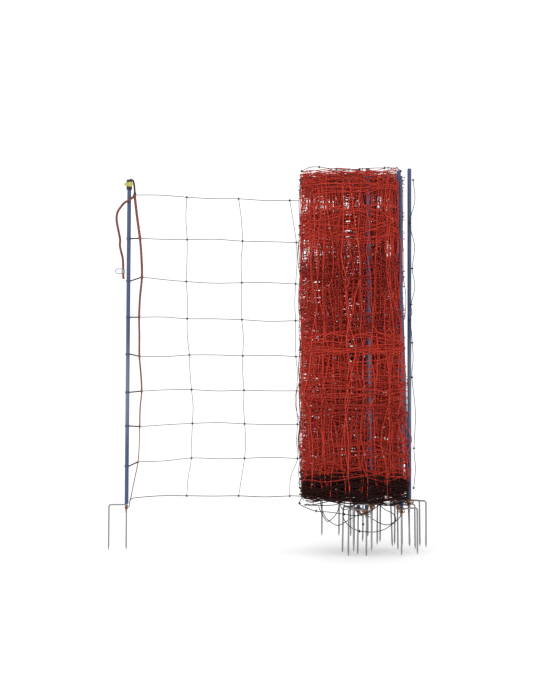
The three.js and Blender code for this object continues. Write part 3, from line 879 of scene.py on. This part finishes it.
def folded_rows(leaf, passes, draw):
    """One span's horizontal strands as an array of rows by stations by (x, y, z), and which
    stations are knots. Each pass crosses the fold evenly, turns at its edge and steps forward. A
    strand's height is its row's height plus a shift that each pass draws anew. Near the line
    where the folds part, knots move away from it by a bell curve of their distance."""
    middle = FIRST_LEAF - LEAF_PITCH * (leaf - 1)
    back, front = middle + SPAN_DEPTH / 2, middle - SPAN_DEPTH / 2
    if leaf == len(PASSES):
        front = FRONT_FOLD
    inset = draw.gamma(1.0, 0.0045, passes + 1)
    inset += draw.choice([0.0, 0.02], passes + 1, p=[0.85, 0.15])
    right = (np.arange(passes + 1) + leaf) % 2 == 0
    ends = np.where(right, FOLD_RIGHT - 0.003 - inset, FOLD_LEFT + 0.002 + inset)
    stations = (np.arange(passes)[:, None] + np.array([0.0, 0.04, 0.27, 0.5, 0.73, 0.96])).ravel()
    stations = np.append(stations, passes)
    pace = MESH_WIDTH / (FOLD_RIGHT - FOLD_LEFT - 0.01)
    joints = np.arange(draw.uniform(0.02, pace), passes, pace)
    joints += draw.uniform(-0.07, 0.07, len(joints))
    joints = np.clip(joints, 0.01, passes - 0.01)
    lone = np.abs(stations[:, None] - joints[None]).min(1) > 0.03
    stations = np.sort(np.concatenate([stations[lone], joints]))
    is_joint = np.isin(stations, joints)
    turns = np.arange(passes + 1)
    x = np.interp(stations, turns, ends)
    y = np.interp(stations, turns, np.linspace(back, front, passes + 1))
    rows, drift = [], 0.0
    for row in range(9):
        shift = draw.uniform(-0.085, 0.085, passes)
        if row == 0:
            shift = draw.uniform(-0.062, 0.062, passes)
        if row == TOP_ROW:
            shift = draw.uniform(-0.095, 0.0, passes)
        at_turns = np.convolve(np.pad(shift, 1, mode="edge"), [0.5, 0.5], mode="valid")
        nodes = np.sort(np.concatenate([turns, turns[:-1] + 0.5]))
        shifts = np.empty(2 * passes + 1)
        shifts[0::2], shifts[1::2] = at_turns, shift
        height = np.interp(stations, nodes, shifts) + draw.normal(0, 0.006, len(stations))
        if row == TOP_ROW:
            over_post = 0.009 * np.exp(-(((x - OVER_POST) / 0.018) ** 2))
            ceiling = TOP_EDGE + 0.002 * np.sin(x * 31.0) + over_post
            height = ceiling + np.minimum(height, 0.0)
        else:
            height += fold_rows[row]
        drift = 0.55 * drift + draw.normal(0, 0.010, len(stations))
        place = np.clip(x + drift, FOLD_LEFT + 0.0015, FOLD_RIGHT - 0.0015)
        away = place - part_line(height, y)
        open_here = 0.55 + 0.45 * np.sin(1.9 * row + 0.6)
        place += is_joint * 0.013 * open_here * np.sign(away) * np.exp(-((away / 0.014) ** 2))
        edge = place - FOLD_LEFT - 0.017
        place += is_joint * 0.005 * np.sign(edge) * np.exp(-((edge / 0.009) ** 2))
        calm = 0.32 * open_here * np.exp(-((away / 0.022) ** 2))
        level = fold_rows[row] if row < TOP_ROW else TOP_EDGE - 0.03
        height = level + (height - level) * (1 - calm)
        if leaf > 6:
            share = (place - FOLD_LEFT) / (FOLD_RIGHT - FOLD_LEFT)
            pull = 0.026 * np.clip(height - 0.3, 0, 1.1)
            if leaf > 8:
                pull += 0.013 * np.clip((height - 0.6) / 0.3, 0, 1)
            place -= pull * share**4
        rows.append(np.stack([place, y + draw.normal(0, 0.0006, len(y)), height], 1))
    return np.array(rows), is_joint


knot_places, base_surfaces, base_tones = [], [], []
for leaf, passes in enumerate(PASSES, start=1):
    draw = np.random.default_rng(100 + leaf)
    rows, is_joint = folded_rows(leaf, passes, draw)
    outer = leaf in (1, 12, 13)
    sides, spacing = (5, 0.010) if outer else (4, 0.013)
    strands, tones = [], []
    for row in range(9):
        path = clear_of_posts(smooth_line(rows[row], spacing), STRAND_ROOM)
        tube = swept(path, STRAND_RADIUS if row else BASE_RADIUS, sides, across=(0, 0, 1))
        (strands if row else base_surfaces).append(tube)
        (tones if row else base_tones).append(draw.uniform(0, 0.75))
    if leaf in LOOSE_FRONT:
        slack = rows[0] * np.array([1.0, 1.0, -1.0]) + np.array([0.0, -0.0008, 2 * BASE_ROW_HEIGHT])
        slack[:, 0] = FOLD_LEFT + FOLD_RIGHT - slack[:, 0]
        path = clear_of_posts(smooth_line(slack, spacing), STRAND_ROOM)
        base_surfaces.append(swept(path, BASE_RADIUS, sides, across=(0, 0, 1)))
        base_tones.append(draw.uniform(0, 0.5))
    for station in np.nonzero(is_joint)[0]:
        crossings = rows[:, station]
        between = (crossings[1:] + crossings[:-1]) / 2
        between[:, 0] += draw.normal(0, 0.008, 8)
        between[:, 1] += draw.normal(0, 0.0008, 8)
        upright = np.empty((17, 3))
        upright[0::2], upright[1::2] = crossings, between
        path = clear_of_posts(smooth_line(upright, spacing * 1.4), STRAND_ROOM)
        strands.append(swept(path, 0.00125, sides))
        tones.append(draw.uniform(0.3, 1.0))
        knot_places.append(clear_of_posts(crossings, STRAND_ROOM))
    stands_for = ["folded_net"] if leaf == 1 else []
    mesh_piece(f"folded_span_{leaf}", strands, red_strand, stands_for, tones)

mesh_piece(
    "folded_base_tangle",
    base_surfaces,
    folded_black,
    ["folded_base_strands"],
    base_tones,
)
knot_places = np.concatenate(knot_places)
knot_turns = np.random.default_rng(7).uniform(0, np.pi, len(knot_places))
mesh_piece("folded_knots", [knots(knot_places, 0.0026, 6, 4, knot_turns)], knot_red)

# Slack base strand: loops that have slipped down between the folds and hang below them. Each
# span has its loops and its knots, as (across, height) in millimetres from the fold's left edge.
LOOP_TWIST = {"lobes": 3, "depth": 0.2, "lay": 0.014}
SLACK_LOOPS = [
    (
        13,
        [
            [
                (10, 217), (-5, 186), (17, 171), (52, 159), (100, 155), (148, 148),
                (189, 143), (223, 152), (264, 176), (284, 196),
            ],
            [(60, 176), (69, 155), (89, 124), (110, 136), (124, 155), (130, 178)],
        ],
        [(-5, 186), (52, 159), (148, 148), (206, 146)],
    ),
    (
        12,
        [
            [
                (150, 190), (147, 152), (147, 131), (165, 106), (192, 90), (223, 85),
                (257, 85), (291, 95), (326, 121), (343, 142), (346, 190),
            ]
        ],
        [(202, 87)],
    ),
    (
        11,
        [
            [
                (68, 190), (72, 162), (79, 145), (93, 124), (127, 104), (158, 118),
                (189, 136), (209, 145), (233, 136), (257, 121), (288, 107), (312, 109),
                (329, 124), (319, 145), (291, 159), (262, 186),
            ]
        ],
        [(216, 108)],
    ),
]
for number, (leaf, loops, lumps) in enumerate(SLACK_LOOPS, start=1):
    depth = FIRST_LEAF - LEAF_PITCH * (leaf - 1)
    surfaces = []
    for loop in loops:
        flat = np.array(loop) * 0.001
        line = np.stack([FOLD_LEFT + flat[:, 0], np.full(len(flat), depth), flat[:, 1]], 1)
        surfaces.append(swept(smooth_line(line, 0.003), BASE_RADIUS, 9, **LOOP_TWIST))
    spots = [(FOLD_LEFT + 0.001 * x, depth, 0.001 * z) for x, z in lumps]
    surfaces.append(knots(spots, KNOT_RADIUS, 12, 9))
    mesh_piece(
        f"slack_loop_{number}",
        surfaces,
        black_strand,
        [f"hanging_loop_{number}"],
        tones=[0.1] * len(surfaces),
    )

# Edge strands: dark single strands in the drawn-out net's finish: the last upright, slack beside the last
# post, and one down the fold's left side and one along its top, which darken those edges of the folds.
# Each is a list of (across, height) in millimetres from its own corner, and every second place is a knot.
EDGE_KNOT_RADIUS = 0.0032
LAST_UPRIGHT = [
    (14, 231), (20, 300), (15, 369), (20, 490), (8, 615), (12, 680), (9, 735), (6, 775), (1, 813),
    (8, 840), (5, 868), (18, 930), (9, 993), (17, 1070), (1, 1150), (18, 1230), (12, 1300),
]
LEFT_UPRIGHT = [
    (-4, 240), (-8, 300), (-3, 345), (-7, 410), (-2, 465), (-6, 530), (-4, 590), (-9, 650),
    (-3, 712), (-7, 780), (-4, 845), (-8, 905), (-3, 980), (-8, 1060), (-4, 1135), (-7, 1215), (-2, 1290),
]
TOP_STRAND = [
    (2, 1320), (30, 1333), (62, 1334), (88, 1330), (120, 1327), (155, 1325), (200, 1327),
    (240, 1330), (285, 1331), (325, 1330), (340, 1320),
]
for name, route, corner in [
    ("last_upright", LAST_UPRIGHT, (LAST_POST_FOOT[0], LAST_POST_FOOT[1] - 0.0105)),
    ("left_edge_upright", LEFT_UPRIGHT, (FOLD_LEFT, FRONT_FOLD + 0.003)),
    ("top_edge_strand", TOP_STRAND, (FOLD_LEFT, FRONT_FOLD + 0.001)),
]:
    flat = np.array(route) * 0.001
    line = np.stack([corner[0] + flat[:, 0], np.full(len(flat), corner[1]), flat[:, 1]], 1)
    surfaces = [
        swept(smooth_line(line, 0.004), STRAND_RADIUS, 9, **LIVE_TWIST),
        knots(line[::2], EDGE_KNOT_RADIUS, 12, 9),
    ]
    mesh_piece(name, surfaces, drawn_strand, tones=[0.3, 0.0])
